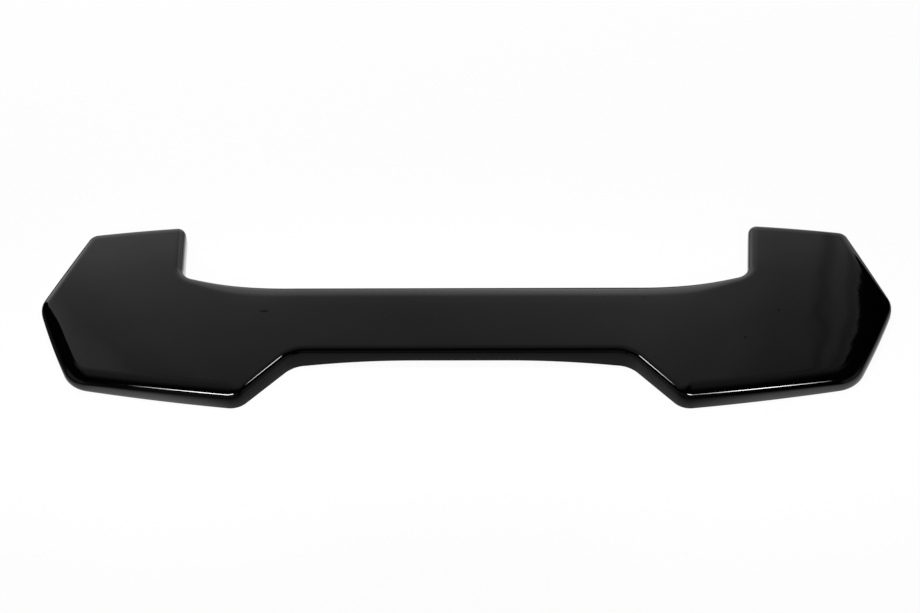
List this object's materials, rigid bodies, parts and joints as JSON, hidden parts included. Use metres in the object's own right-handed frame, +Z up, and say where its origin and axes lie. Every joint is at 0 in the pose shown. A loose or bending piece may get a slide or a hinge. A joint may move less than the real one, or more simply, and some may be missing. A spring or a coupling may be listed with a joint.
{
  "type": "car spoiler",
  "caption": "Roof spoiler cap: wide side wings with arrow-shaped tips joined by a narrow bar, notched trailing edge and rolled rim, open underneath; bonds over a tailgate spoiler.",
  "frame": {"origin": "under the middle of the part's box, in the plane of the wings' rim", "axes": "+X across the car to the right as seen from behind, +Y towards the front of the car, +Z up through the visible skin"},
  "size_m": [1.141, 0.2985, 0.033],
  "materials": {
    "gloss_black_skin": "high gloss black, formed sheet"
  },
  "bodies": {
    "root": {"spoiler_shell": "gloss_black_skin"}
  },
  "joints": []
}
